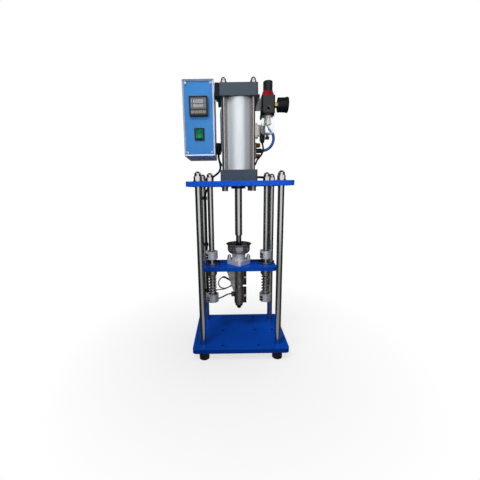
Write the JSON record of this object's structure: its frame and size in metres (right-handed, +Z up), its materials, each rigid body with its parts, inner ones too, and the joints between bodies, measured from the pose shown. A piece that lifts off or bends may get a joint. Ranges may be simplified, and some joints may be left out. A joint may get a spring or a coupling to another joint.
{
  "type": "benchtop plastic injection machine",
  "caption": "Upright benchtop plastic injection machine: an air cylinder on a column frame drives a plunger through a hopper into a heated barrel above a drilled mould table.",
  "frame": {"origin": "Middle of the mould table's top face, where the injection axis meets it.", "axes": "+Z up along the injection axis, -Y towards the operator, +X to the operator's right."},
  "size_m": [0.2805, 0.254, 0.7298],
  "materials": {
    "blue_paint": "deep blue gloss paint",
    "foot_rubber": "black rubber",
    "black_oxide": "black oxide screws",
    "chrome_bar": "hard-chromed ground bar",
    "bright_nuts": "bright nickel plate",
    "satin_aluminium": "satin turned aluminium",
    "spring_steel": "dark spring steel",
    "slate_paint": "dark slate semi-gloss paint",
    "tube_aluminium": "drawn anodised tube",
    "turned_steel": "turned steel",
    "black_plastic": "black moulded plastic",
    "coil_beige": "light moulded coil",
    "grey_plastic": "grey moulded plastic",
    "brass": "plain brass",
    "hose_blue": "blue polyurethane hose",
    "cable_black": "black cable sheath",
    "bracket_grey": "grey painted sheet",
    "black_paint": "black paint",
    "red_plastic": "red moulded plastic",
    "clear_bowl": "clear polycarbonate",
    "filter_beige": "sintered beige element",
    "box_grey": "light grey powder coat",
    "panel_blue": "blue panel paint",
    "plunger_steel": "darkened tool steel",
    "hopper_steel": "polished stainless sheet",
    "heater_steel": "heat-tinted steel sheet",
    "nozzle_dark": "dark heated steel",
    "lead_sleeve": "glass-fibre sleeved leads",
    "rocker_green": "green rocker",
    "button_grey": "light grey keys"
  },
  "bodies": {
    "frame": {"base_plate": "blue_paint", "rubber_feet": "foot_rubber", "frame_screws": "black_oxide", "frame_columns": "chrome_bar", "top_plate": "blue_paint", "dome_nuts": "bright_nuts", "guide_rods": "chrome_bar", "stop_collars": "satin_aluminium", "collar_screws": "black_oxide", "return_springs": "spring_steel", "bottom_cap": "slate_paint", "cylinder_tube": "tube_aluminium", "top_cap": "slate_paint", "tie_rods": "turned_steel", "rod_gland": "black_plastic", "valve_body": "satin_aluminium", "solenoid_coil": "coil_beige", "coil_plug": "grey_plastic", "brass_fittings": "brass", "air_fittings": "black_plastic", "supply_hose": "hose_blue", "air_lines": "cable_black", "coil_cable": "cable_black", "side_brackets": "bracket_grey", "regulator_body": "black_paint", "lock_ring": "red_plastic", "filter_bowl": "clear_bowl", "filter_element": "filter_beige", "gauge_case": "black_paint", "control_box": "box_grey", "front_panel": "panel_blue", "panel_screws": "bright_nuts", "box_bracket": "black_paint", "controller_case": "black_plastic", "switch_frame": "black_plastic", "cable_glands": "black_plastic", "heater_cable": "cable_black", "cable_clips": "black_plastic"},
    "piston": {"piston": "satin_aluminium", "piston_rod": "chrome_bar", "plunger": "plunger_steel"},
    "carriage": {"carriage_plate": "blue_paint", "guide_bushings": "turned_steel", "bushing_screws": "black_oxide", "barrel": "turned_steel", "barrel_flange": "satin_aluminium", "flange_nuts": "bright_nuts", "hopper": "hopper_steel", "heater_bands": "heater_steel", "nozzle": "nozzle_dark", "heater_leads": "lead_sleeve"},
    "spindle": {"adjusting_spindle": "brass"},
    "knob": {"regulator_knob": "black_plastic"},
    "drain": {"drain_cock": "black_plastic"},
    "needle": {"gauge_needle": "black_paint"},
    "rocker": {"switch_rocker": "rocker_green"},
    "key_1": {"button_1": "button_grey"},
    "key_2": {"button_2": "button_grey"},
    "key_3": {"button_3": "button_grey"},
    "key_4": {"button_4": "button_grey"}
  },
  "joints": [
    {"name": "piston_stroke", "type": "slide", "parent": "frame", "child": "piston", "axis": [0, 0, -1], "range_m": [-0.089, 0.036]},
    {"name": "carriage_float", "type": "slide", "parent": "frame", "child": "carriage", "axis": [0, 0, -1], "range_m": [-0.0085, 0.022], "stiffness_N_per_m": 3000, "springref_m": -0.00796, "deforming": ["return_springs", "heater_leads"]},
    {"name": "knob_turn", "type": "hinge", "parent": "frame", "child": "spindle", "pos_m": [0.0825, 0.04, 0.6725], "axis": [0, 0, 1], "range_deg": [-720, 720]},
    {"name": "knob_lift", "type": "slide", "parent": "spindle", "child": "knob", "axis": [0, 0, 1], "range_m": [0, 0.003]},
    {"name": "drain_push", "type": "slide", "parent": "frame", "child": "drain", "axis": [0, 0, 1], "range_m": [0, 0.0025], "stiffness_N_per_m": 400, "springref_m": -0.001},
    {"name": "needle_swing", "type": "hinge", "parent": "frame", "child": "needle", "pos_m": [0.1265, 0.04, 0.639], "axis": [-1, 0, 0], "range_deg": [0, 270], "stiffness_Nm_per_rad": 0.0005},
    {"name": "rocker_tilt", "type": "hinge", "parent": "frame", "child": "rocker", "pos_m": [-0.1025, 0.0186, 0.5625], "axis": [-1, 0, 0], "range_deg": [0, 14]},
    {"name": "press_1", "type": "slide", "parent": "frame", "child": "key_1", "axis": [0, 1, 0], "range_m": [0, 0.0008], "stiffness_N_per_m": 600, "springref_m": -0.0005},
    {"name": "press_2", "type": "slide", "parent": "frame", "child": "key_2", "axis": [0, 1, 0], "range_m": [0, 0.0008], "stiffness_N_per_m": 600, "springref_m": -0.0005},
    {"name": "press_3", "type": "slide", "parent": "frame", "child": "key_3", "axis": [0, 1, 0], "range_m": [0, 0.0008], "stiffness_N_per_m": 600, "springref_m": -0.0005},
    {"name": "press_4", "type": "slide", "parent": "frame", "child": "key_4", "axis": [0, 1, 0], "range_m": [0, 0.0008], "stiffness_N_per_m": 600, "springref_m": -0.0005}
  ]
}
